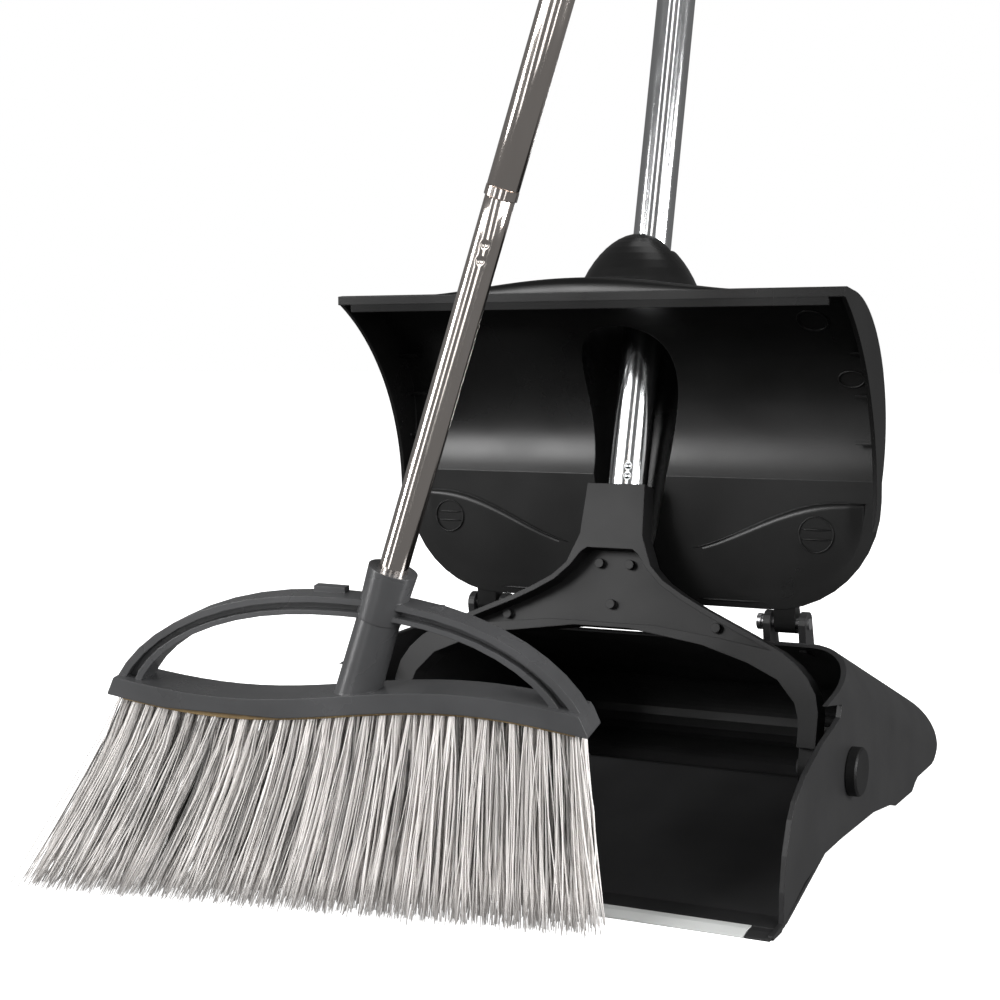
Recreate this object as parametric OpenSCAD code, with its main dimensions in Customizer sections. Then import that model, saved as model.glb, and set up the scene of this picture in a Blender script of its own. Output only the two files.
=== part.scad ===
// Upright dust pan with a self-closing lid, and its broom.
// Frame: X right, Y back (the pan's mouth faces -Y), Z up, floor at Z = 0.
// The origin lies on the underside of the pan's lip, 2 mm behind its front edge.

/* [Dust pan] */
// Outer half width of the pan
pan_half_w = 139; // [130:1:139]
// Thickness of the pan's moulded walls
pan_wall = 2.5; // [2:0.1:3]
// Height of the ridge at the back of the ramp
ridge_z = 36; // [30:1:38]

/* [Lid] */
// Radius of the lid's curved back
lid_r = 69; // [67:0.5:70]
// Thickness of the lid
lid_wall = 2.2; // [1.8:0.1:2.4]
// Radius of the domed hood that the handle passes through
hood_r = 35; // [34:0.5:36]
// Width of the slot in the hood
slot_w = 40; // [26:1:42]

/* [Dust pan handle] */
// Angle that the handle leans back by at rest
handle_lean = 14.1; // [12:0.1:15]
// Outer radius of the handle tube
tube_r = 11; // [10.5:0.1:11]
// Distance from the pivot to the top of the handle tube
handle_len = 880; // [700:10:1000]

/* [Broom] */
// Half length of the broom's block
block_half = 116; // [110:0.5:120]
// Height of the bristles at the middle of the block
bristle_h = 100; // [90:1:110]
// Outer radius of the broom's lower tube
broom_tube_r = 6.5; // [6:0.1:7]
// Length of the broom's handle above its block
broom_len = 1110; // [800:10:1300]
// Sideways angle of the broom's handle
broom_tilt = 17.1; // [10:0.1:20]

/* [Hidden] */
$fn = 64;

// Axes of the two hinges, [y, z]
pivot = [121.6, 48.5];
hinge = [164.5, 115];
pin_r = 3;
run_gap = 0.06;
far = 400;

// Lip and ramp
lip_front = -2;
strip_back = 9;
ramp_front = 24;
lip_t = 2.4;
ridge_y = 144;

// Roof of the bin: a plane that falls towards the back, with round shoulders
roof_front = [155, 106];
roof_drop = 19.3;
shoulder_r = 32;
heel_r = 30;
heel = [285, 29.1];
foot_x = 104;
foot_y = 222;
foot_stem_r = 3;

// Side walls
wall_in = pan_half_w - pan_wall;
notch_y = 104;

// Lid: centre of its curved back, centre of the arc that trims its skirts, and its lower panel
lid_c = [98.2, 220.9];
skirt_c = [29.7, 179.7];
skirt_r = 122;
lid_half_w = pan_half_w + 3.5;
panel_y = 161;
panel_top = 193;
panel_corner_r = 60;
panel_low = 122.5;
hood_c = [171.5, 286];
hood_h = 40;
channel_c = [147.2, 150.4];
channel_r = 19.5;
arm_x = 90.5;
arm_w = 12;
ear_t = 4;

// Yoke
leg_in = 114;
leg_out = 124;
yoke_front = 16;
yoke_back = -3;
socket_top = 141;
socket_r = 13.8;
socket_low = 104;
tube_start = 108;
shaft_r = 4;
knob_r = 12.5;
knob_t = 6;
joint_at = 470;

// Broom: foot of its middle plane on the floor, turn, forward lean and tilt of its block
broom_foot = [-77.6, -47.4, 0];
broom_turn = 10;
broom_lean = 6;
block_tilt = 2.2;
block_u = 26;
frame_half_d = 11;
flange_half_d = 7;
band_t = 9;
wave = 5.5;
arch_low = 96;
arch_top = 153.5;
arch_in_low = 102;
arch_in_top = 145;
broom_axis_u = 31;
broom_axis_v = 109;
broom_joint = 230;

// Draws a [y, z] outline from x0 to x1
module along_x(x0, x1) {
    translate([x0, 0, 0]) rotate([90, 0, 90]) linear_extrude(x1 - x0) children();
}

// The same thing on the right and, mirrored, on the left
module both_sides() {
    children();
    mirror([1, 0, 0]) children();
}

// Round bar along X
module bar_x(r, x0, x1, at) {
    translate([x0, at[0], at[1]]) rotate([0, 90, 0]) cylinder(r = r, h = x1 - x0);
}

// ---- dust pan ----

// Tunnel with round shoulders that follows the roof, shrunk by t
module roof_tunnel(t) {
    translate([0, roof_front[0], roof_front[1]]) rotate([-roof_drop, 0, 0])
        translate([0, 220, 0]) rotate([90, 0, 0]) linear_extrude(far) {
            translate([-pan_half_w + t, -far]) square([2 * (pan_half_w - t), far - shoulder_r]);
            translate([-pan_half_w + shoulder_r, -far])
                square([2 * (pan_half_w - shoulder_r), far - t]);
            for (side = [-1, 1])
                translate([side * (pan_half_w - shoulder_r), -shoulder_r]) circle(shoulder_r - t);
        }
}

// Round heel of the bin in side view, shrunk by t, up to the roof
function heel_arc(t) = [for (a = [0:6:66]) heel + (heel_r - t) * [cos(a), sin(a)]];

// Front edge of the side wall: lip, throat, notch for the lid, and cheek
front_edge = [[118, 97.8], [92, 92.2], [78, 90], [notch_y, 86], [101, 80], [90, 77],
              [73, 73.5], [46, 64], [31, 55], [25, 48], [18, 33], [15, 17], [14.5, 3],
              [0, 2], [0, 0]];

// Lower edge of the pan: lip, raised underside, foot bulge and heel
under_edge = [[12, 0], [16, 3], [45, 13], [77, 18], [104, 18], [166, 16], [203, 11],
              [212, 8], [250, 7], [258, 11], [264, 12.5], [298, 12.3], [304, 13.4], [309.5, 16.6],
              [313.5, 22]];

module side_outline() {
    polygon(concat(front_edge, under_edge, heel_arc(0), [[292, 80], [154, 120], [154, 105.6]]));
}

// Side view of the inside, open to the front
module inside_outline() {
    t = lip_t;
    polygon(concat([[-far, far], [-far, -far], [160, -far], [160, 16.5 + t], [204, 11 + t],
                    [213, 8 + t], [249, 7 + t], [257, 11 + t], [263, 12.5 + t], [297.5, 12.3 + t],
                    [302.5, 13.4 + t], [307.5, 19], [311, 24]],
                   heel_arc(pan_wall), [[292, 85], [200, far]]));
}

// Ramp and the drop behind its ridge
module ramp_outline() {
    t = lip_t;
    polygon([[strip_back, 0], [ramp_front, 0], [ridge_y, ridge_z - t], [154, 17.6], [158, 17.1],
             [163, 16.6], [163, 17.4], [ridge_y + 14, 19.4], [ridge_y + 2, ridge_z],
             [ridge_y - 1, ridge_z], [ramp_front + 1, t], [strip_back, t]]);
}

module pan_body() color("#2b2b2b") difference() {
    union() {
        difference() {
            intersection() {
                along_x(-pan_half_w - 1, pan_half_w + 1) side_outline();
                roof_tunnel(0);
            }
            intersection() {
                along_x(-pan_half_w, pan_half_w) inside_outline();
                roof_tunnel(pan_wall);
            }
        }
        along_x(-wall_in - 1, wall_in + 1) ramp_outline();
        both_sides() {
            // pivot boss and the stop that the yoke's leg leans on
            bar_x(9, leg_out + 4.2, wall_in + 1, pivot);
            bar_x(3, leg_in - 1, wall_in + 1, [134.1, 70]);
            // hinge ears
            for (x = [arm_x - arm_w / 2 - 2 - ear_t, arm_x + arm_w / 2 + 2])
                along_x(x, x + ear_t)
                    polygon(concat([[171, 115], [177, 95], [160.5, 100]],
                                   [for (a = [200:-20:-20]) [hinge[0] + 6.5 * cos(a), hinge[1] + 6.5 * sin(a)]]));
            // corner block at the end of the lip
            along_x(pan_half_w - 13, pan_half_w - 1)
                polygon([[lip_front, 0], [ramp_front - 4, 0], [ramp_front - 4, lip_t - 0.3],
                         [4, lip_t - 0.3], [lip_front, 0.9]]);
            // ribs under the ramp
            for (x = [30, 95])
                along_x(x, x + 2)
                    polygon([[95, 21.2], [142, 34], [147.5, 30], [152, 17.5], [110, 18.5]]);
        }
    }
    both_sides() {
        bar_x(shaft_r + run_gap, leg_out, pan_half_w + 1, pivot);
        bar_x(pin_r, arm_x - 20, arm_x + 20, hinge);
        translate([foot_x, foot_y, 0]) cylinder(r = foot_stem_r, h = 15);
    }
}

module lip_strip() color("#d8d8d4") {
    along_x(-pan_half_w + 13.3, pan_half_w - 13.3)
        polygon([[lip_front, 0], [strip_back, 0], [strip_back, lip_t], [4, lip_t],
                 [lip_front, 0.9]]);
}

module rear_foot() color("#1c1c1c") translate([foot_x, foot_y, 0]) {
    cylinder(r1 = 8, r2 = 9, h = 7.1);
    cylinder(r = foot_stem_r, h = 11.5);
}
module rear_foot_right() rear_foot();
module rear_foot_left() mirror([1, 0, 0]) rear_foot();

// ---- lid ----

// The hood, shrunk by t: a rounded hill on a drop shape that narrows down to a channel
// behind the yoke's socket
module hood_shape(t) {
    run = hood_c - channel_c;
    lean = atan2(run[0], run[1]);
    taper = asin((hood_r - channel_r) / norm(run));
    big = [(hood_r - t - 0.15) * cos(taper), norm(run) - (hood_r - t - 0.15) * sin(taper)];
    small = [(channel_r - t - 0.15) * cos(taper), -(channel_r - t - 0.15) * sin(taper)];
    intersection() {
        translate([0, channel_c[0], channel_c[1]]) rotate([-lean, 0, 0]) rotate_extrude()
            intersection() {
                union() {
                    translate([0, norm(run)]) circle(hood_r - t);
                    circle(channel_r - t);
                    polygon([[-1, small[1]], small, big, [-1, big[1]]]);
                }
                translate([0, -far]) square(2 * far);
            }
        translate([-far / 2, 0, 0]) cube([far, far, hood_c[1] + 1.5]);
    }
    hill = [for (a = [0:7.5:82.5]) [(hood_r + 0.7 - t) * pow(1 - pow(sin(a), 1.4), 0.52),
                                    (hood_h - t) * sin(a)]];
    translate([0, hood_c[0], hood_c[1]]) rotate_extrude() polygon(concat([[0, 0]], hill, [[0, hood_h - t]]));
}

// Filled side outline of the lid's curved back and lower panel, shrunk by t
module lid_outline(t) {
    intersection() {
        translate(lid_c) circle(lid_r - t);
        translate([-far, panel_top - 4]) square(2 * far);
    }
    translate([lid_c[0] - 20, panel_low - 1 + t]) square([panel_y - lid_c[0] + 20 - t, 90 - t]);
}

// Front view of the lid, with its round lower corners
module lid_front_view() {
    r = panel_corner_r;
    corner = [for (a = [0:9:90]) [lid_half_w - r + r * cos(a), panel_low + r - r * sin(a)]];
    mirrored_outline(concat([[lid_half_w, far]], corner));
}

module lid() color("#242424") difference() {
    union() {
        intersection() {
            difference() {
                union() {
                    along_x(-lid_half_w, lid_half_w) lid_outline(0);
                    hood_shape(0);
                }
                // hollow, all but the skirts at the ends
                along_x(-lid_half_w + lid_wall, lid_half_w - lid_wall) union() {
                    lid_outline(lid_wall);
                    translate([lid_c[0] - 60, panel_low - 5]) square([panel_y - lid_c[0] + 60 - lid_wall, 50]);
                }
                hood_shape(lid_wall);
                along_x(-far, far) translate(skirt_c) circle(skirt_r);
            }
            translate([0, far, 0]) rotate([90, 0, 0]) linear_extrude(2 * far) lid_front_view();
            // front edge
            translate([-far, 88, 0]) cube([2 * far, far, far]);
        }
        // rolled front edge, with a lip that hangs down between the walls
        along_x(-lid_half_w, lid_half_w) polygon([[88, 286], [92, 285.5], [104, 288.5], [104, 289.6],
                                                  [92, 291], [88, 290.5]]);
        along_x(-wall_in + 2, wall_in - 2) polygon([[88, 287], [88.4, 282], [90.4, 282], [93, 287]]);
        both_sides() {
            // hinge arm
            along_x(arm_x - arm_w / 2, arm_x + arm_w / 2) {
                translate(hinge) circle(5.5);
                polygon([[159, 115], [170, 115], [panel_y, 140], [panel_y - lid_wall, 140]]);
            }
            // gussets inside the skirt
            for (z = [212, 236, 258])
                translate([lid_half_w - 14, 0, z]) intersection() {
                    translate([0, 60, 0]) cube([13, 100, 1.6]);
                    along_x(-1, 20) translate([lid_c[0], lid_c[1] - z]) circle(lid_r - 1);
                    difference() {
                        translate([-1, 0, -1]) cube([20, 200, 5]);
                        along_x(-2, 21) translate([lid_c[0], lid_c[1] - z]) circle(lid_r - 8);
                    }
                }
        }
    }
    // slot for the handle: open behind and above it
    hood_slot();
    both_sides() bar_x(pin_r + run_gap, arm_x - 20, arm_x + 20, hinge);
}

// The handle's path through the hood as the lid closes
module hood_slot() {
    translate([-slot_w / 2, 0, 0]) along_x(0, slot_w)
        polygon([[154.5, 280], [173, 325], [173, 345], [240, 345], [240, 283.5], [200, 283.5]]);
}

module hinge_pin() color("#8d8d8d") {
    bar_x(pin_r, arm_x - 14.6, arm_x + 13, hinge);
    bar_x(pin_r + 1.4, arm_x - 16.4, arm_x - 14.2, hinge);
}
module hinge_pin_right() hinge_pin();
module hinge_pin_left() mirror([1, 0, 0]) hinge_pin();

// ---- handle of the dust pan ----

// The handle's own frame: origin on the pivot axis, Z along the tube
module at_pivot() {
    translate([0, pivot[0], pivot[1]]) rotate([-handle_lean, 0, 0]) children();
}

// Extrudes a front-view outline from depth y0 to y1 in the handle's frame
module front_slab(y0, y1) {
    translate([0, y1, 0]) rotate([90, 0, 0]) linear_extrude(y1 - y0) children();
}

module mirrored_outline(half) {
    polygon(concat(half, [for (i = [len(half) - 1:-1:0]) [-half[i][0], half[i][1]]]));
}

yoke_out = [[17, socket_top], [18.5, 113], [25, 97], [33, 89.5], [44, 83], [56, 77], [80, 66.5],
            [101, 57], [110, 51], [117, 44], [122, 36], [leg_out, 27], [leg_out, 0]];
yoke_in = [[leg_in, 0], [leg_in, 22], [111, 31], [101, 42], [84, 49.5], [58, 57], [16, 63]];
yoke_pocket = [[13.5, 105.5], [17, 103], [23, 95], [31.5, 87], [43, 80.3], [55, 74.3], [79, 63.8],
               [96, 56.8], [67, 61.3], [31, 65.5]];

module yoke() color("#333333") at_pivot() difference() {
    union() {
        front_slab(-yoke_front, yoke_back) mirrored_outline(concat(yoke_out, yoke_in));
        translate([0, 0, socket_low]) cylinder(r = socket_r, h = socket_top - socket_low);
        both_sides() {
            bar_x(11, leg_in, leg_out, [0, 0]);
            bar_x(8, leg_out - 1, leg_out + 3.5, [0, 0]);
        }
    }
    // channel, open to the front
    difference() {
        front_slab(-yoke_front - 1, yoke_back - 2.2) mirrored_outline(yoke_pocket);
        for (at = [[9, 98], [-9, 98], [0, 76], [62, 67], [-62, 67]])
            translate([at[0], yoke_back - 5.2, at[1]]) rotate([-90, 0, 0]) cylinder(r = 2.6, h = 4);
    }
    // square feet of the legs are cut back to the round bosses
    both_sides() translate([leg_in - 2, -yoke_front - 1, -1]) difference() {
        cube([leg_out - leg_in + 1.9, 40, 10]);
        translate([-1, yoke_front + 1, 1]) rotate([0, 90, 0]) cylinder(r = 11, h = 20);
        translate([0, yoke_front - 10, 0]) cube([20, 21 - 8, 11]);
    }
    translate([0, 0, tube_start]) cylinder(r = tube_r + 0.03, h = 100);
    both_sides() bar_x(shaft_r, leg_in - 1, leg_out + 4, [0, 0]);
}

module pivot_knob() color("#303030") at_pivot() difference() {
    union() {
        bar_x(shaft_r, leg_in, pan_half_w + 1, [0, 0]);
        bar_x(knob_r, pan_half_w + 0.4, pan_half_w + knob_t - 1, [0, 0]);
        translate([pan_half_w + knob_t - 1, 0, 0]) rotate([0, 90, 0])
            cylinder(r1 = knob_r, r2 = knob_r - 1, h = 1);
    }
    bar_x(1.6, leg_in - 1, leg_in + 12, [0, 0]);
}
module pivot_knob_right() pivot_knob();
module pivot_knob_left() mirror([1, 0, 0]) pivot_knob();

module pivot_screw() color("#a8a8a8") at_pivot() difference() {
    union() {
        bar_x(1.6, leg_in - 1, leg_in + 11, [0, 0]);
        bar_x(5.5, leg_in - 1.6, leg_in, [0, 0]);
        translate([leg_in - 3.2, 0, 0]) rotate([0, 90, 0]) cylinder(r1 = 3.6, r2 = 5.5, h = 1.6);
    }
    for (turn = [0, 90]) rotate([turn, 0, 0]) translate([leg_in - 4, -0.5, -2.6]) cube([2, 1, 5.2]);
}
module pivot_screw_right() pivot_screw();
module pivot_screw_left() mirror([1, 0, 0]) pivot_screw();

module hollow_tube(r, wall, z0, z1) {
    translate([0, 0, z0]) difference() {
        cylinder(r = r, h = z1 - z0);
        translate([0, 0, -1]) cylinder(r = r - wall, h = z1 - z0 + 2);
    }
}

module pan_tube_lower() color("#c9ccd0") at_pivot() hollow_tube(tube_r, 1, tube_start, joint_at);

module pan_tube_joiner() color("#2a2a2a") at_pivot() difference() {
    union() {
        translate([0, 0, joint_at - 40]) cylinder(r = tube_r - 1, h = 86);
        translate([0, 0, joint_at]) cylinder(r = tube_r + 1, h = 6);
    }
    translate([0, 0, joint_at - 41]) cylinder(r = tube_r - 3, h = 90);
}

module pan_tube_upper() color("#c9ccd0") at_pivot()
    hollow_tube(tube_r, 1, joint_at + 6, handle_len);

// Hollow grip with finger rings
module grip(r, inner_r, length, rings) {
    difference() {
        rotate_extrude() union() {
            translate([0, 3]) square([r, length - 6]);
            square([r - 2.5, length]);
            translate([r - 3, 3]) circle(3);
            translate([r - 3, length - 3]) circle(3);
            for (i = [1:rings]) translate([r - 0.6, i * length / (rings + 1)]) circle(1.6);
        }
        translate([0, 0, -1]) cylinder(r = inner_r, h = length + 2);
    }
}

grip_len = 118;
module pan_grip() color("#262626") at_pivot() translate([0, 0, handle_len - grip_len])
    grip(14.5, tube_r, grip_len, 7);

// Plug with a hanging eye whose hole runs along X
module hanger(r, plug_r, hole_r, eye_h) {
    difference() {
        union() {
            translate([0, 0, -18]) cylinder(r = plug_r, h = 20);
            cylinder(r = r, h = 7);
            translate([-r + 4, -r, 6]) cube([2 * r - 8, 2 * r, eye_h - r - 6]);
            translate([-r + 4, 0, eye_h - r]) rotate([0, 90, 0]) cylinder(r = r, h = 2 * r - 8);
        }
        translate([-r, 0, eye_h - r]) rotate([0, 90, 0]) cylinder(r = hole_r, h = 2 * r);
    }
}

module pan_hanger() color("#1f1f1f") at_pivot() translate([0, 0, handle_len])
    hanger(14, tube_r - 1, 6.5, 44);

// ---- broom ----

// Frame of the broom's block: X along the block, Z up its bristles, Y to the back
module at_broom() {
    translate(broom_foot) rotate([broom_lean, 0, broom_turn]) rotate([0, block_tilt, 0]) children();
}

// The broom handle's frame: Z along the tube, origin on top of the block
module at_broom_tube() {
    at_broom() translate([broom_axis_u, 0, broom_axis_v]) rotate([0, broom_tilt, 0]) children();
}

// Height of the wavy lower edge of the block at distance x from its middle
function block_low(x) = bristle_h + wave * sin(180 * x / block_half);

// Front view of a wavy band along the block, from height a to b above its lower edge
module wavy_band(a, b, half) {
    steps = 24;
    xs = [for (i = [0:steps]) -half + 2 * half * i / steps];
    polygon(concat([for (x = xs) [block_u + x, block_low(x) + a]],
                   [for (i = [steps:-1:0]) [block_u + xs[i], block_low(xs[i]) + b]]));
}

// Front view of a flat-bottomed dome of the given half length, from height low to top
module arch_outline(half, low, top) {
    polygon([for (a = [-90:7.5:90])
        [block_u + half * sin(a), low + (top - low) * pow(1 - pow(abs(sin(a)), 2.3), 0.62)]]);
}

module broom_frame() color("#5a5a5c") difference() {
    union() {
        at_broom() {
            // arched bridge: a web with a flange along each edge
            front_slab(-2.5, 2.5) difference() {
                arch_outline(block_half, arch_low, arch_top);
                arch_outline(block_half - 14, arch_in_low, arch_in_top);
                wavy_band(-20, band_t - 1, block_half);
            }
            front_slab(-flange_half_d, flange_half_d) difference() {
                arch_outline(block_half, arch_low, arch_top);
                arch_outline(block_half - 3, arch_low - 2, arch_top - 3);
                wavy_band(-20, band_t - 1, block_half);
            }
            front_slab(-flange_half_d, flange_half_d) difference() {
                arch_outline(block_half - 11.5, arch_in_low, arch_in_top + 2.2);
                arch_outline(block_half - 14, arch_in_low - 2, arch_in_top);
                wavy_band(-20, band_t - 1, block_half);
            }
            // catch and nub on top of the bridge
            front_slab(1, 6) translate([10, arch_top - 3]) square([15, 5.5]);
            front_slab(1, 5) translate([66, arch_top - 8]) square([5, 5]);
            // channel over the block
            difference() {
                front_slab(-frame_half_d, frame_half_d) intersection() {
                    wavy_band(0, band_t, block_half + 1);
                    arch_outline(block_half, arch_low, arch_top);
                }
                front_slab(-frame_half_d + 2, frame_half_d - 2) wavy_band(-1, band_t - 2.5, block_half - 7);
            }
        }
        at_broom_tube() {
            translate([0, 0, -6]) cylinder(r1 = 10.4, r2 = 9.6, h = 66);
            translate([0, 0, 36]) cylinder(r1 = 10.2, r2 = 11.2, h = 24);
        }
    }
    at_broom_tube() translate([0, 0, 8]) cylinder(r = broom_tube_r + 0.03, h = 100);
    // keep the socket's foot out of the channel
    at_broom() front_slab(-frame_half_d + 2, frame_half_d - 2) wavy_band(-9, band_t - 2.5, block_half - 7);
}

module brush_block() color("#b58a4a") at_broom()
    front_slab(-frame_half_d + 2.2, frame_half_d - 2.2) wavy_band(-1.5, band_t - 2.7, block_half - 7.2);

// One fan of bristles between depths y0 and y1, trimmed level with the floor
module bristle_fan(y0, y1) color("#b9b6b0") intersection() {
    at_broom() front_slab(y0, y1) {
        half = block_half - 3.5;
        steps = 16;
        xs = [for (i = [0:steps]) -half + 2 * half * i / steps];
        polygon(concat([[block_u - 173, -12]], [for (x = xs) [block_u + x, block_low(x) - 1.7]],
                       [[block_u + 121, -12]]));
    }
    translate([-far, -far, 0]) cube(2 * far);
}
module bristle_row_front() bristle_fan(-8.6, -3.2);
module bristle_row_middle() bristle_fan(-2.7, 2.7);
module bristle_row_rear() bristle_fan(3.2, 8.6);

module broom_tube_lower() color("#d7b9a4") at_broom_tube()
    hollow_tube(broom_tube_r, 0.8, 8, broom_joint);

module broom_tube_joiner() color("#c7a892") at_broom_tube() difference() {
    union() {
        translate([0, 0, broom_joint - 30]) cylinder(r = broom_tube_r - 0.8, h = 64);
        translate([0, 0, broom_joint]) cylinder(r = broom_tube_r + 0.7, h = 4);
    }
    translate([0, 0, broom_joint - 31]) cylinder(r = broom_tube_r - 2.4, h = 70);
}

module broom_tube_upper() color("#dcb9a3") at_broom_tube()
    hollow_tube(broom_tube_r + 0.5, 1.3, broom_joint + 4, broom_len);

module broom_grip() color("#4c4c4e") at_broom_tube() translate([0, 0, broom_len - 110])
    grip(10.5, broom_tube_r + 0.5, 110, 6);

module broom_hanger() color("#3c3c3e") at_broom_tube() translate([0, 0, broom_len])
    hanger(10.5, broom_tube_r - 0.8, 4.5, 36);

pan_body();
lip_strip();
rear_foot_left();
rear_foot_right();
lid();
hinge_pin_left();
hinge_pin_right();
yoke();
pivot_knob_left();
pivot_knob_right();
pivot_screw_left();
pivot_screw_right();
pan_tube_lower();
pan_tube_joiner();
pan_tube_upper();
pan_grip();
pan_hanger();
broom_frame();
brush_block();
bristle_row_front();
bristle_row_middle();
bristle_row_rear();
broom_tube_lower();
broom_tube_joiner();
broom_tube_upper();
broom_grip();
broom_hanger();
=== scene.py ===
"""Upright dust pan with a hooded lid, and its broom: finishes, bristles, tubes and studio.

Lengths are in millimetres until MM turns them into metres.
"""
import math
import random

import bmesh
import bpy
from mathutils import Matrix, Vector


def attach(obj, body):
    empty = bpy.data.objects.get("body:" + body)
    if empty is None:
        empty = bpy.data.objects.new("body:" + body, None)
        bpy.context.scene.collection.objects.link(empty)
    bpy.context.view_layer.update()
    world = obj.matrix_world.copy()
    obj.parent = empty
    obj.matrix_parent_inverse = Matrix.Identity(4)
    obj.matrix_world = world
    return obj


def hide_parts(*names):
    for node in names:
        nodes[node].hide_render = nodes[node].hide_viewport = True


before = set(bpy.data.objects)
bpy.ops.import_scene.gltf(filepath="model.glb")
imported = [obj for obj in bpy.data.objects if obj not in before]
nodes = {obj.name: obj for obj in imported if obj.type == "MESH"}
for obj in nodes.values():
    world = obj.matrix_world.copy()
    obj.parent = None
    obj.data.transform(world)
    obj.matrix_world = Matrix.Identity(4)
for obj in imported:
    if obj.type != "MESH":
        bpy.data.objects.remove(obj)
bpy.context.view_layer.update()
MM = 0.001


# ---------------------------------------------------------------- materials

ALL_WAYS = (1, 1, 1)


def new_material(name):
    mat = bpy.data.materials.new(name)
    mat.use_nodes = True
    tree = mat.node_tree
    return mat, tree, tree.nodes["Principled BSDF"]


def noise(tree, scale, detail=3.0, stretch=ALL_WAYS):
    """Noise in the object's own coordinates, drawn out where stretch is under 1."""
    coords = tree.nodes.new("ShaderNodeTexCoord")
    mapping = tree.nodes.new("ShaderNodeMapping")
    mapping.inputs["Scale"].default_value = stretch
    tex = tree.nodes.new("ShaderNodeTexNoise")
    tex.inputs["Scale"].default_value = scale
    tex.inputs["Detail"].default_value = detail
    tree.links.new(coords.outputs["Object"], mapping.inputs["Vector"])
    tree.links.new(mapping.outputs["Vector"], tex.inputs["Vector"])
    return tex.outputs["Fac"]


def ramp(tree, fac, stops):
    """Colour ramp over fac. Each stop is a place and a colour or a grey."""
    node = tree.nodes.new("ShaderNodeValToRGB")
    elements = node.color_ramp.elements
    while len(elements) < len(stops):
        elements.new(0.5)
    for element, (pos, value) in zip(elements, stops):
        element.position = pos
        element.color = (*value, 1) if isinstance(value, tuple) else (value, value, value, 1)
    tree.links.new(fac, node.inputs["Fac"])
    return node.outputs["Color"]


def moulded(name, dark, light, rough, grain=0.06, spec=0.5):
    """Moulded plastic: faint mottling, fine grain, uneven gloss and softened edges."""
    edge_radius, grain_depth = 0.0006, 0.0004
    mat, tree, bsdf = new_material(name)
    tree.links.new(ramp(tree, noise(tree, 26, 4), [(0.3, dark), (0.7, light)]),
                   bsdf.inputs["Base Color"])
    tree.links.new(ramp(tree, noise(tree, 14, 5), [(0.3, rough - 0.05), (0.7, rough + 0.06)]),
                   bsdf.inputs["Roughness"])
    bsdf.inputs["Specular IOR Level"].default_value = spec
    bump = tree.nodes.new("ShaderNodeBump")
    bump.inputs["Strength"].default_value = grain
    bump.inputs["Distance"].default_value = grain_depth
    tree.links.new(noise(tree, 1300, 2), bump.inputs["Height"])
    bevel = tree.nodes.new("ShaderNodeBevel")
    bevel.samples = 4
    bevel.inputs["Radius"].default_value = edge_radius
    tree.links.new(bevel.outputs["Normal"], bump.inputs["Normal"])
    tree.links.new(bump.outputs["Normal"], bsdf.inputs["Normal"])
    return mat


def chrome(name, dark, light, rough):
    """Plated steel with faint drawing marks along it."""
    mat, tree, bsdf = new_material(name)
    tree.links.new(ramp(tree, noise(tree, 60, 3, (1, 1, 0.05)), [(0.3, dark), (0.7, light)]),
                   bsdf.inputs["Base Color"])
    tree.links.new(ramp(tree, noise(tree, 300, 3, (1, 1, 0.02)),
                        [(0.3, rough), (0.75, rough + 0.05)]),
                   bsdf.inputs["Roughness"])
    bsdf.inputs["Metallic"].default_value = 1.0
    return mat


def colour_mix(tree):
    node = tree.nodes.new("ShaderNodeMix")
    node.data_type = "RGBA"
    colour_a, colour_b, result = node.inputs[6], node.inputs[7], node.outputs[2]
    return node, colour_a, colour_b, result


def bristle_material(name, dark, light):
    """Filaments: each one its own tone, a few nearly black as painted shade for the gaps between
    strands, and paler towards the tip, partly their own flagged ends and partly painted light.
    """
    tip_top = 0.045  # metres above the floor where the paler tips begin
    mat, tree, bsdf = new_material(name)
    geometry = tree.nodes.new("ShaderNodeNewGeometry")
    # painted shade: the two nearly black stops darken a few filaments to stand for the shadowed
    # gaps between strands
    shade = ramp(tree, geometry.outputs["Random Per Island"],
                 [(0.0, tuple(0.12 * d for d in dark)), (0.1, tuple(0.3 * d for d in dark)),
                  (0.22, dark), (1.0, light)])

    where = tree.nodes.new("ShaderNodeTexCoord")
    height = tree.nodes.new("ShaderNodeSeparateXYZ")
    tree.links.new(where.outputs["Object"], height.inputs["Vector"])
    # paler towards the floor: partly the filaments' own flagged tips, partly painted light
    # lifting the shade near the floor
    pale_tip_and_painted_light = tree.nodes.new("ShaderNodeMapRange")
    pale_tip_and_painted_light.inputs["From Min"].default_value = 0.0
    pale_tip_and_painted_light.inputs["From Max"].default_value = tip_top
    pale_tip_and_painted_light.inputs["To Min"].default_value = 0.9
    pale_tip_and_painted_light.inputs["To Max"].default_value = 0.0
    tree.links.new(height.outputs["Z"], pale_tip_and_painted_light.inputs["Value"])
    tip, tip_a, tip_b, tipped = colour_mix(tree)
    tree.links.new(pale_tip_and_painted_light.outputs["Result"], tip.inputs["Factor"])
    tree.links.new(shade, tip_a)
    tip_b.default_value = (*light, 1)

    streak = ramp(tree, noise(tree, 90, 3, (1, 1, 0.15)), [(0.25, 0.85), (0.75, 1.0)])
    mix, mix_a, mix_b, mixed = colour_mix(tree)
    mix.blend_type = "MULTIPLY"
    mix.inputs["Factor"].default_value = 1.0
    tree.links.new(tipped, mix_a)
    tree.links.new(streak, mix_b)
    tree.links.new(mixed, bsdf.inputs["Base Color"])
    bsdf.inputs["Roughness"].default_value = 0.55
    bsdf.inputs["Specular IOR Level"].default_value = 0.4
    return mat


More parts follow.
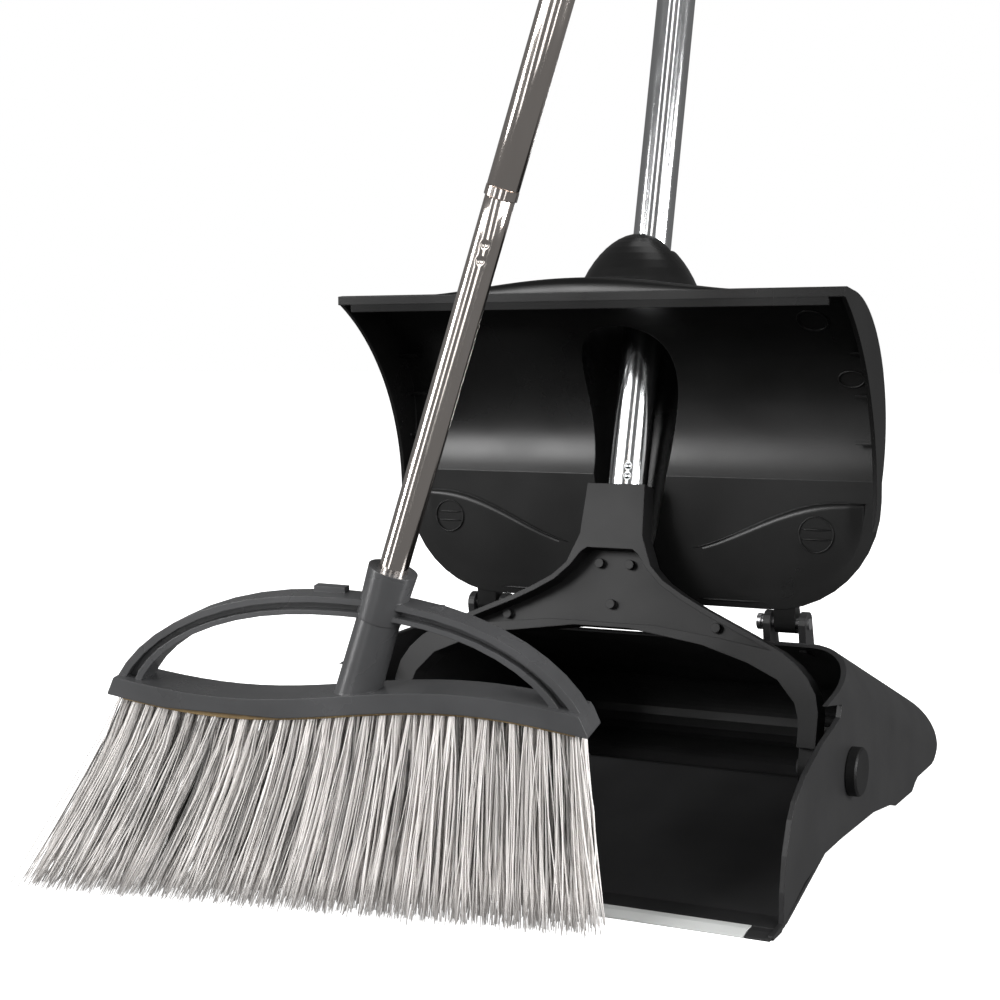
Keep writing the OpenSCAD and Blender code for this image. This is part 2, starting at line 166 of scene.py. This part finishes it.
pan_plastic = moulded("pan_plastic", (0.013, 0.013, 0.0135), (0.019, 0.019, 0.0195), 0.46,
                      spec=0.36)
lid_plastic = moulded("lid_plastic", (0.004, 0.004, 0.004), (0.007, 0.007, 0.007), 0.3, spec=0.26)
yoke_plastic = moulded("yoke_plastic", (0.006, 0.006, 0.0062), (0.010, 0.010, 0.0102), 0.42,
                       spec=0.17)
strip_plastic = moulded("strip_plastic", (0.50, 0.51, 0.50), (0.58, 0.59, 0.58), 0.42)
foot_rubber = moulded("foot_rubber", (0.014, 0.014, 0.014), (0.022, 0.022, 0.022), 0.75,
                      grain=0.2)
broom_plastic = moulded("broom_plastic", (0.050, 0.0505, 0.052), (0.070, 0.0705, 0.073), 0.27)
glue = moulded("block_glue", (0.17, 0.11, 0.045), (0.34, 0.24, 0.11), 0.6, grain=0.4)
steel = chrome("steel", (0.42, 0.42, 0.43), (0.55, 0.55, 0.56), 0.3)
pan_chrome = chrome("pan_chrome", (0.78, 0.79, 0.80), (0.88, 0.89, 0.90), 0.11)
broom_chrome = chrome("broom_chrome", (0.84, 0.77, 0.72), (0.92, 0.85, 0.80), 0.12)
bristle = bristle_material("bristle", (0.80, 0.77, 0.745), (1.0, 0.965, 0.94))

# every node not listed here is yoke plastic, apart from the rows of bristles
looks = {
    "pan_body": pan_plastic,
    "lid": lid_plastic,
    "lip_strip": strip_plastic,
    "rear_foot_left": foot_rubber,
    "rear_foot_right": foot_rubber,
    "hinge_pin_left": steel,
    "hinge_pin_right": steel,
    "pivot_screw_left": steel,
    "pivot_screw_right": steel,
    "pan_tube_lower": pan_chrome,
    "pan_tube_upper": pan_chrome,
    "broom_frame": broom_plastic,
    "broom_grip": broom_plastic,
    "broom_hanger": broom_plastic,
    "brush_block": glue,
    "broom_tube_lower": broom_chrome,
    "broom_tube_joiner": broom_chrome,
    "broom_tube_upper": broom_chrome,
}
for name, obj in nodes.items():
    mat = looks.get(name, bristle if name.startswith("bristle") else yoke_plastic)
    obj.data.materials.clear()
    obj.data.materials.append(mat)


# ---------------------------------------------------------------- places, and making a piece


def turn(degrees, axis):
    return Matrix.Rotation(math.radians(degrees), 4, axis)


def shift(x, y, z):
    return Matrix.Translation(Vector((x, y, z)) * MM)


# the pan's handle leans back from the pivot; the broom stands turned, leaning and tilted, and
# its tube leaves the socket at an angle
at_pivot = shift(0, 121.6, 48.5) @ turn(-14.1, "X")
at_broom = shift(-77.6, -47.4, 0) @ turn(10, "Z") @ turn(6, "X") @ turn(2.2, "Y")
at_broom_tube = at_broom @ shift(31, 0, 109) @ turn(17.1, "Y")


def make_piece(name, verts, faces, mat, body):
    mesh = bpy.data.meshes.new(name)
    mesh.from_pydata(verts, [], faces)
    mesh.update()
    obj = bpy.data.objects.new(name, mesh)
    bpy.context.scene.collection.objects.link(obj)
    mesh.materials.append(mat)
    mesh.polygons.foreach_set("use_smooth", [True] * len(mesh.polygons))
    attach(obj, body)
    return obj


# ---------------------------------------------------------------- bristles

BLOCK_HALF = 116.0      # half the block's length
BLOCK_MIDDLE = 26.0     # its middle, along the broom
BRISTLE_LENGTH = 100.0
WAVE = 5.5              # the block's underside is one wave, this high
TUFTS = 33
FILAMENTS = 27          # in each tuft
ROWS = {"front": -6.6, "middle": 0.0, "rear": 6.6}
TIPS_LEFT, TIPS_RIGHT = -168, 118
STEPS = 5               # along a filament, which is three-sided
FIRST_SEED = 11


def block_low(x):
    return BRISTLE_LENGTH + WAVE * math.sin(math.pi * x / BLOCK_HALF)


def bristle_row(row, depth, seed):
    """One row of tufts: each filament fans out from its tuft and ends near the floor."""
    rng = random.Random(seed)
    stagger = 0.25 if row == "middle" else 0.0
    end_gap = 4.5
    verts, faces = [], []
    for t in range(TUFTS):
        frac = (t + 0.5 + stagger - 0.125) / TUFTS
        x0 = -BLOCK_HALF + end_gap + frac * (2 * BLOCK_HALF - 2 * end_gap)
        lean_x = TIPS_LEFT + frac * (TIPS_RIGHT - TIPS_LEFT) - x0
        curl = rng.uniform(-1.5, 1.5)
        for _ in range(FILAMENTS):
            ang = rng.uniform(0, 2 * math.pi)
            rad = math.sqrt(rng.random())
            rx, ry = rad * math.cos(ang), rad * math.sin(ang)
            top = Vector((BLOCK_MIDDLE + x0 + 2.3 * rx, depth + 2.0 * ry, block_low(x0) - 1.0))
            spread = 5.2 * rx + rng.gauss(0, 3.4) + curl
            end_x = BLOCK_MIDDLE + x0 + lean_x + spread
            end_y = depth + 4.0 * ry + rng.gauss(0, 0.8)
            end_z = rng.uniform(0.4, 3.0) + (rng.random() ** 4) * 7
            wave = rng.gauss(0, 1.8)
            width = rng.uniform(0.28, 0.5)
            path = []
            for k in range(STEPS + 1):
                f = k / STEPS
                bow = math.sin(math.pi * f) * wave
                fan = f ** 1.15
                point = Vector((top.x + (end_x - top.x) * fan + bow,
                                top.y + (end_y - top.y) * fan,
                                top.z * (1 - f)))
                path.append(at_broom @ (point * MM))
            # shortened or drawn out so that the tip ends at end_z above the floor
            root, low = path[0], path[-1]
            scale = (root.z - end_z * MM) / max(root.z - low.z, 1e-6)
            path = [root + (p - root) * scale for p in path]
            base = len(verts)
            for k, p in enumerate(path):
                r = width * MM * (1.0 if k < STEPS else 0.55)
                for c in range(3):
                    a = 2 * math.pi * c / 3 + ang
                    verts.append(p + Vector((math.cos(a) * r, math.sin(a) * r, 0)))
            for k in range(STEPS):
                for c in range(3):
                    d = (c + 1) % 3
                    faces.append((base + 3 * k + c, base + 3 * k + d,
                                  base + 3 * k + 3 + d, base + 3 * k + 3 + c))
            tip = base + 3 * STEPS
            faces.append((tip, tip + 1, tip + 2))
    obj = make_piece("bristles_" + row, verts, faces, bristle, "broom")
    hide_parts("bristle_row_" + row)


for i, (row, depth) in enumerate(ROWS.items()):
    bristle_row(row, depth, FIRST_SEED + i)


# ---------------------------------------------------------------- tubes

TUBE_SIDES = 128
DIMPLE_DEPTH, DIMPLE_RADIUS = 0.9, 1.25
EDGE_ROLL = 0.4


def tube_profile(r, wall, z0, z1, dimples):
    """Radius and height of each ring, outside rings first, and how many those are."""
    rings = {z0, z0 + EDGE_ROLL, z1 - EDGE_ROLL, z1}
    rings.update(z0 + (z1 - z0) * i / 12 for i in range(13))
    for h, _ in dimples:
        rings.update(h + 0.35 * i for i in range(-8, 9))
    profile = []
    for z in sorted(z for z in rings if z0 <= z <= z1):
        edge = min(z - z0, z1 - z)
        inset = 0
        if edge < EDGE_ROLL:
            inset = EDGE_ROLL * (1 - math.sqrt(max(0, 1 - (1 - edge / EDGE_ROLL) ** 2)))
        profile.append((r - inset, z))
    return profile + [(r - wall, z1), (r - wall, z0)], len(profile)


def tube_piece(node, r, wall, z0, z1, place, mat, body, slot, dimples):
    """Drawn tube with rolled ends, and pressed dimples at (height, angle in degrees)."""
    profile, outer = tube_profile(r, wall, z0, z1, dimples)
    verts, faces = [], []
    for k, (rad, z) in enumerate(profile):
        for i in range(TUBE_SIDES):
            a = 2 * math.pi * i / TUBE_SIDES
            dent = 0.0
            if k < outer:
                for h, deg in dimples:
                    gap = (a - math.radians(deg) + math.pi) % (2 * math.pi) - math.pi
                    dist = math.hypot(gap * r, z - h)
                    dent = max(dent, DIMPLE_DEPTH * math.exp(-(dist / DIMPLE_RADIUS) ** 2))
            point = Vector(((rad - dent) * math.cos(a), (rad - dent) * math.sin(a), z))
            verts.append(place @ (point * MM))
    count = len(profile)
    for k in range(count):
        n = (k + 1) % count
        for i in range(TUBE_SIDES):
            j = (i + 1) % TUBE_SIDES
            faces.append((k * TUBE_SIDES + i, k * TUBE_SIDES + j,
                          n * TUBE_SIDES + j, n * TUBE_SIDES + i))
    obj = make_piece(node + "_drawn", verts, faces, mat, body)
    for poly in obj.data.polygons:
        poly.use_smooth = poly.index // TUBE_SIDES < outer - 1
    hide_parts(node)


# the dimples' side of a tube: in front and to the right
FRONT = math.degrees(math.atan2(-824, 365))
pan_tubes = (at_pivot, pan_chrome, "handle", "pan_chrome")
broom_tubes = (at_broom_tube, broom_chrome, "broom", "broom_chrome")
tube_piece("pan_tube_lower", 11, 1, 108, 470, *pan_tubes,
           [(h, a) for h in (146.5, 152) for a in (FRONT - 4, FRONT - 88, FRONT + 86)])
tube_piece("pan_tube_upper", 11, 1, 476, 880, *pan_tubes, [(h, FRONT - 4) for h in (484, 490)])
tube_piece("broom_tube_lower", 6.5, 0.8, 8, 230, *broom_tubes,
           [(h, FRONT - 14) for h in (203, 210)])
tube_piece("broom_tube_upper", 7, 1.3, 234, 1110, *broom_tubes,
           [(h, FRONT - 14) for h in (480, 487)])


# ---------------------------------------------------------------- moulding details of the lid

PLATE_Y = 158.8                 # front face of the lid's lower panel
LID_Y, LID_Z = 98.2, 220.9      # middle of the curve of the lid's back
LID_OUTER, LID_INNER = 69.0, 66.8
CORNER_X, CORNER_Z, CORNER_R = 82.5, 182.5, 56.5    # the lower panel's round corner


def lid_piece(name, verts, faces):
    obj = make_piece(name, verts, faces, lid_plastic, "lid")


def bead(name, path, r, closed=False):
    """Round moulding bead along a path. An open one tapers at its ends."""
    pts = [Vector(q) for q in path]
    verts, faces = [], []
    sides, n = 8, len(pts)
    for k, q in enumerate(pts):
        before = pts[(k - 1) % n] if closed or k else q
        after = pts[(k + 1) % n] if closed or k < n - 1 else q
        along = (after - before).normalized()
        up = along.cross(Vector((0, 1, 0))).normalized()
        side = up.cross(along)
        ease = 1.0 if closed else min(1.0, 0.25 + min(k, n - 1 - k) / 3)
        for i in range(sides):
            a = 2 * math.pi * i / sides
            verts.append((q + (up * math.cos(a) + side * math.sin(a)) * r * ease) * MM)
    for k in range(n if closed else n - 1):
        m = (k + 1) % n
        for i in range(sides):
            j = (i + 1) % sides
            faces.append((k * sides + i, k * sides + j, m * sides + j, m * sides + i))
    if not closed:
        faces.append(tuple(range(sides))[::-1])
        faces.append(tuple((n - 1) * sides + i for i in range(sides)))
    lid_piece(name, verts, faces)


def slab_faces(cols, n, flip=False):
    """Faces of a closed slab: two layers of cols + 1 columns, each of n points."""
    size = (cols + 1) * n
    faces = []
    for i in range(cols):
        for j in range(n - 1):
            a = i * n + j
            quad = (a, a + n, a + n + 1, a + 1)
            back = tuple(size + v for v in quad)
            faces += [quad[::-1], back] if flip else [quad, back[::-1]]
    rim = ([i * n for i in range(cols)] + [cols * n + j for j in range(n - 1)]
           + [i * n + n - 1 for i in range(cols, 0, -1)] + list(range(n - 1, 0, -1)))
    for a, b in zip(rim, rim[1:] + rim[:1]):
        faces.append((a, b, b + size, a + size) if flip else (a, a + size, b + size, b))
    return faces


def crease_z(x):
    """Height of the lid's inner crease: low in the middle, rising to both sides."""
    along = min(1.0, max(0.0, (abs(x) - 22) / 98))
    return 152.0 + 29.0 * (0.5 - 0.5 * math.cos(math.pi * along))


def lid_apron(name, side):
    """Slightly raised field under the crease, on the lid's lower panel."""
    cols, rows = 40, 12
    inner_x, width, lowest = 40, 95, 128.0
    verts = []
    for layer in range(2):
        for i in range(cols + 1):
            x = inner_x + width * i / cols
            low = lowest
            if x > CORNER_X:
                drop = math.sqrt(max(0.0, CORNER_R ** 2 - (x - CORNER_X) ** 2))
                low = max(low, CORNER_Z - drop)
            top = crease_z(x)
            low = min(low, top - 0.5)
            for j in range(rows + 1):
                f = j / rows
                fade = min(1.0, i / 12) * min(1.0, (cols - i) / 4)
                proud = -0.05 + 1.15 * f ** 1.5 * fade * fade * (3 - 2 * fade)
                y = PLATE_Y + 0.6 if layer else PLATE_Y - proud
                verts.append(Vector((side * x, y, low + (top - low) * f)) * MM)
    lid_piece(name, verts, slab_faces(cols, rows + 1, flip=side < 0))


def circle(r, count):
    angles = (2 * math.pi * i / count for i in range(count))
    return [(r * math.cos(a), r * math.sin(a)) for a in angles]


def round_mark(name, x, z, r):
    """Ejector mark: a fine ring, with two short ribs across it."""
    y = PLATE_Y - 1.0
    bead(name, [(x + u, y, z + v) for u, v in circle(r, 32)], 0.45, closed=True)
    for i in range(2):
        h = (i - 0.5) * r * 0.55
        half = math.sqrt(r * r - h * h) - 1.2
        line = [(x - half + 2 * half * k / 8, y, z + h) for k in range(9)]
        bead(f"{name}_rib_{i}", line, 0.6)


def boss_ring(name, x, z, r):
    """Flattened ring on the inside of the lid's curved back."""
    def on_back(x, z):
        return (x, LID_Y + math.sqrt(max(0.0, (LID_INNER - 0.2) ** 2 - (z - LID_Z) ** 2)), z)
    bead(name, [on_back(x + u, z + 0.6 * v) for u, v in circle(r, 28)], 0.6, closed=True)


for label, sign in (("right", 1), ("left", -1)):
    lid_apron("lid_apron_" + label, sign)
    bead("lid_crease_" + label,
         [(sign * x, PLATE_Y - 0.7 * min(1, (x - 30) / 30), crease_z(x))
          for x in [38 + 97 * k / 30 for k in range(31)]], 0.45)
    bead("lid_hem_" + label,
         [(sign * x, PLATE_Y, 126.2) for x in [42 + 38 * k / 12 for k in range(13)]], 0.7)
round_mark("lid_mark_right", 108, 164, 9.5)
round_mark("lid_mark_left", -114, 166, 9.0)
boss_ring("lid_boss_upper", 112, 276, 8.0)
boss_ring("lid_boss_side", 126, 246, 7.0)

SHOULDER_HALF = 96
SHOULDER_HIGH = 8.0
SHOULDER_FRONT, SHOULDER_CREST, SHOULDER_BACK = 88.2, 95.0, 139.0


def shoulder_share(y):
    """Share of the swelling's height at depth y: a round nose, then a long fall."""
    if y < SHOULDER_CREST:
        f = (SHOULDER_CREST - y) / (SHOULDER_CREST - SHOULDER_FRONT)
        return max(0.0, 1 - f ** 3) ** 0.42
    f = (y - SHOULDER_CREST) / (SHOULDER_BACK - SHOULDER_CREST)
    return max(0.0, 1 - f ** 2.3) ** 1.3


def lid_top(y):
    """Height of the lid's outside, at its front edge and behind it."""
    curve = LID_Z + math.sqrt(max(0.0, LID_OUTER ** 2 - (y - LID_Y) ** 2))
    return max(curve, 290.6) if y < 97 else curve


def lid_shoulder():
    """The lid's front edge swells up in the middle and runs into the foot of the hood."""
    cols = 72
    depths = [SHOULDER_CREST - (SHOULDER_CREST - SHOULDER_FRONT) * math.cos(math.pi * j / 8)
              for j in range(4)]
    depths += [SHOULDER_CREST + (SHOULDER_BACK - SHOULDER_CREST) * j / 6 for j in range(7)]
    verts = []
    for layer in range(2):
        for i in range(cols + 1):
            x = SHOULDER_HALF * (2 * i / cols - 1)
            rise = SHOULDER_HIGH * (1 - (x / SHOULDER_HALF) ** 2) ** 1.8
            for y in depths:
                z = lid_top(y) - 1.2 if layer else lid_top(y) - 0.3 + rise * shoulder_share(y)
                verts.append(Vector((x, y, z)) * MM)
    lid_piece("lid_shoulder", verts, slab_faces(cols, len(depths)))


lid_shoulder()


# ---------------------------------------------------------------- floor, light, camera

WHITE = (1, 1, 1, 1)


def stage_floor():
    """Wide white paper, lit from within so that it runs into the background."""
    mesh = bpy.data.meshes.new("floor")
    bm = bmesh.new()
    bmesh.ops.create_grid(bm, x_segments=4, y_segments=4, size=40)
    bm.to_mesh(mesh)
    bm.free()
    floor = bpy.data.objects.new("floor", mesh)
    bpy.context.scene.collection.objects.link(floor)
    floor.visible_glossy = False
    floor.visible_diffuse = False
    mat, tree, bsdf = new_material("floor_paper")
    tree.links.new(ramp(tree, noise(tree, 3, 2), [(0.3, 0.90), (0.7, 0.92)]),
                   bsdf.inputs["Base Color"])
    bsdf.inputs["Roughness"].default_value = 0.9
    bsdf.inputs["Specular IOR Level"].default_value = 0.0
    bsdf.inputs["Emission Color"].default_value = WHITE
    bsdf.inputs["Emission Strength"].default_value = 0.93
    mesh.materials.append(mat)


def area_light(name, at, aim, size, power):
    data = bpy.data.lights.new(name, "AREA")
    data.shape = "RECTANGLE"
    data.size, data.size_y = size
    data.energy = power
    obj = bpy.data.objects.new(name, data)
    bpy.context.scene.collection.objects.link(obj)
    obj.location = at
    obj.rotation_euler = (Vector(aim) - Vector(at)).to_track_quat("-Z", "Y").to_euler()


def white_world():
    """Plain white for the camera, dimmer as light on the object, and dimmest in its gloss."""
    world = bpy.data.worlds.new("studio")
    bpy.context.scene.world = world
    world.use_nodes = True
    tree = world.node_tree

    def background(node, strength):
        node.inputs["Color"].default_value = WHITE
        node.inputs["Strength"].default_value = strength
        return node.outputs["Background"]

    def choose(ray, otherwise, then):
        node = tree.nodes.new("ShaderNodeMixShader")
        tree.links.new(ray, node.inputs["Fac"])
        tree.links.new(otherwise, node.inputs[1])
        tree.links.new(then, node.inputs[2])
        return node.outputs["Shader"]

    path = tree.nodes.new("ShaderNodeLightPath")
    around = background(tree.nodes["Background"], 0.3)
    mirrored = background(tree.nodes.new("ShaderNodeBackground"), 0.14)
    seen = background(tree.nodes.new("ShaderNodeBackground"), 1.0)
    light = choose(path.outputs["Is Glossy Ray"], around, mirrored)
    tree.links.new(choose(path.outputs["Is Camera Ray"], light, seen),
                   tree.nodes["World Output"].inputs["Surface"])


def front_camera():
    yaw, pitch = math.radians(24.0), math.radians(4.73)
    forward = Vector((-math.sin(yaw) * math.cos(pitch), math.cos(yaw) * math.cos(pitch),
                      -math.sin(pitch)))
    data = bpy.data.cameras.new("camera")
    data.sensor_width = 36
    data.lens = 59.2
    data.shift_x = -0.12
    camera = bpy.data.objects.new("camera", data)
    bpy.context.scene.collection.objects.link(camera)
    camera.location = (0.365, -0.674, 0.254)
    camera.rotation_euler = forward.to_track_quat("-Z", "Y").to_euler()
    bpy.context.scene.camera = camera


stage_floor()
# soft boxes, then tall narrow ones that draw the bright stripes along the tubes
area_light("key", (-1.45, -2.2, 1.25), (0, 0.1, 0.2), (0.9, 0.9), 50)
area_light("right", (2.2, -0.85, 0.9), (0.1, 0.1, 0.2), (0.9, 1.2), 28)
area_light("side", (2.1, 0.35, 0.5), (0.1, 0.1, 0.1), (0.7, 1.2), 44)
area_light("left", (-2.0, -1.2, 0.7), (-0.1, 0, 0.15), (0.5, 1.6), 34)
area_light("top", (0.2, 0.7, 2.4), (0, 0.1, 0.1), (1.6, 1.0), 9)
area_light("strip_front", (0.75, -2.4, 1.6), (0, 0.1, 1.6), (0.45, 4.6), 16)
area_light("strip_left", (-0.75, -2.3, 1.6), (0, 0.1, 1.6), (0.3, 4.6), 11)
area_light("strip_right", (1.9, -1.5, 1.6), (0, 0.1, 1.6), (0.2, 4.6), 9)
white_world()
front_camera()
bpy.context.scene.view_settings.view_transform = "Standard"
